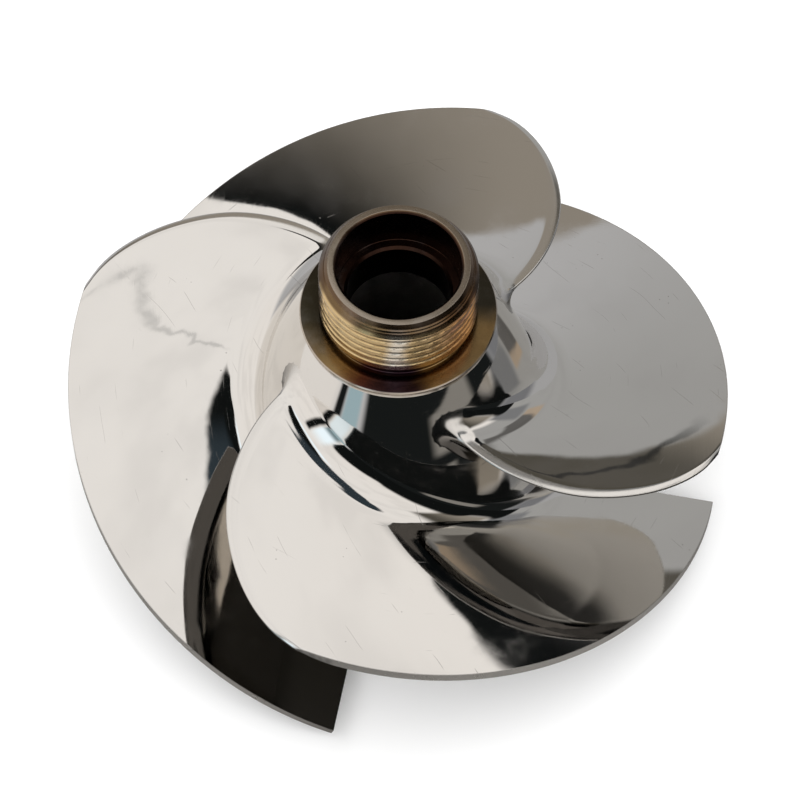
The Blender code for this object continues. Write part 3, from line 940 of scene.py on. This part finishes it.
def pale_floor(stage):
    """A plain pale floor. Mirror surfaces see a darker table in its place, with painted shade close round and under the
    impeller.
    """
    bm = bmesh.new()
    bmesh.ops.create_circle(bm, cap_ends=True, segments=96, radius=2.0)
    bmesh.ops.translate(bm, verts=bm.verts, vec=(0, 0, -0.0002))
    mat = bpy.data.materials.new("pale floor")
    mat.use_nodes = True
    tree = mat.node_tree
    pale = tree.nodes["Principled BSDF"]
    pale.inputs["Base Color"].default_value = (*stage.floor, 1.0)
    pale.inputs["Roughness"].default_value = 0.9
    pale.inputs["Specular IOR Level"].default_value = 0.1
    coordinates = tree.nodes.new("ShaderNodeTexCoord")
    split = tree.nodes.new("ShaderNodeSeparateXYZ")
    tree.links.new(coordinates.outputs["Object"], split.inputs[0])
    x, y, z = split.outputs
    around, behind, up = directions(tree, x, y, z)
    far = calc(tree, "SQRT", calc(tree, "ADD", calc(tree, "MULTIPLY", x, x), calc(tree, "MULTIPLY", y, y)))
    colour = blend(tree, rise(tree, behind, -8.0, 24.0), (0.25, 0.25, 0.255), (0.33, 0.33, 0.335))
    colour = blend(tree, inside(tree, around, 93.0, 122.0, 6.0), colour, (0.12, 0.122, 0.13))
    colour = blend(tree, inside(tree, around, -27.0, 93.0, 3.0), colour, BLACK)
    strip = product(tree, inside(tree, around, 7.0, 38.0, 3.0), inside(tree, far, 0.108, 0.143, 0.004))
    strip = calc(tree, "MAXIMUM", strip, product(tree, inside(tree, around, 26.0, 64.0, 4.0),
                                                 inside(tree, far, 0.175, 0.36, 0.012)))
    colour = blend(tree, strip, colour, (0.15, 0.142, 0.13))
    colour = blend(tree, inside(tree, around, -130.0, -51.0, 6.0), colour, (0.52, 0.50, 0.48))
    colour = blend(tree, inside(tree, around, -44.0, -31.0, 2.0), colour, TEAL_GREY)
    colour = blend(tree, inside(tree, around, -51.0, -45.0, 1.5), colour, BLACK)
    table = tree.nodes.new("ShaderNodeBsdfDiffuse")
    # Painted shade on the table that mirrors see: nearly black close under the impeller and round its front and right,
    # with a grey ring
    near = blend(tree, inside(tree, around, -60.0, 95.0, 8.0), (0.26, 0.245, 0.22), (0.03, 0.03, 0.03))
    near = blend(tree, inside(tree, far, 0.078, 0.100, 0.004), near, (0.27, 0.26, 0.245))
    near = blend(tree, rise(tree, far, 0.045, 0.085), (0.03, 0.028, 0.024), near)
    set_input(tree, table.inputs["Color"], blend(tree, rise(tree, far, 0.10, 0.14), near, colour))
    rays = tree.nodes.new("ShaderNodeLightPath")
    mixed = tree.nodes.new("ShaderNodeMixShader")
    tree.links.new(rays.outputs["Is Glossy Ray"], mixed.inputs[0])
    tree.links.new(pale.outputs[0], mixed.inputs[1])
    tree.links.new(table.outputs[0], mixed.inputs[2])
    tree.links.new(mixed.outputs[0], tree.nodes["Material Output"].inputs["Surface"])
    floor = new_piece("floor", bm, [mat])


class IMPELLER_OT_stage(bpy.types.Operator):
    """Set the camera, the floor and the soft light"""
    bl_idname = "impeller.stage"
    bl_label = "Set the stage"

    def execute(self, context):
        scene = context.scene
        stage = scene.impeller_stage
        data = bpy.data.cameras.new("camera")
        data.lens = stage.lens
        data.clip_start = 0.05
        data.clip_end = 20
        camera = bpy.data.objects.new("camera", data)
        camera.location = (0.0, -0.44128, 0.74793)
        camera.rotation_euler = [math.radians(a) for a in (31.4539, -0.3094, 0.4302)]
        scene.collection.objects.link(camera)
        scene.camera = camera
        pale_floor(stage)
        studio_world(scene)
        scene.view_settings.view_transform = "Standard"
        return {"FINISHED"}


class IMPELLER_PT_panel(bpy.types.Panel):
    """Lists the impeller's operators"""
    bl_idname = "IMPELLER_PT_panel"
    bl_label = "Watercraft Impeller"
    bl_space_type = "VIEW_3D"
    bl_region_type = "UI"
    bl_category = "Impeller"

    def draw(self, context):
        layout = self.layout
        for name in ("hub", "nose", "blades", "stage"):
            layout.operator("impeller." + name)


SETTINGS = {
    "impeller_hub": HubSettings,
    "impeller_nose": NoseSettings,
    "impeller_blade": BladeSettings,
    "impeller_finish": FinishSettings,
    "impeller_stage": StageSettings,
}
CLASSES = (*SETTINGS.values(), IMPELLER_OT_hub, IMPELLER_OT_nose, IMPELLER_OT_blades, IMPELLER_OT_stage,
           IMPELLER_PT_panel)


def register():
    """Register the classes and the settings."""
    for item in CLASSES:
        bpy.utils.register_class(item)
    for name, group in SETTINGS.items():
        setattr(bpy.types.Scene, name, PointerProperty(type=group))


def unregister():
    """Remove the settings and the classes."""
    for name in SETTINGS:
        delattr(bpy.types.Scene, name)
    for item in reversed(CLASSES):
        bpy.utils.unregister_class(item)


def main():
    """Build everything in order."""
    register()
    bpy.ops.impeller.stage()
    bpy.ops.impeller.hub()
    bpy.ops.impeller.nose()
    bpy.ops.impeller.blades()


if __name__ == "__main__":
    main()
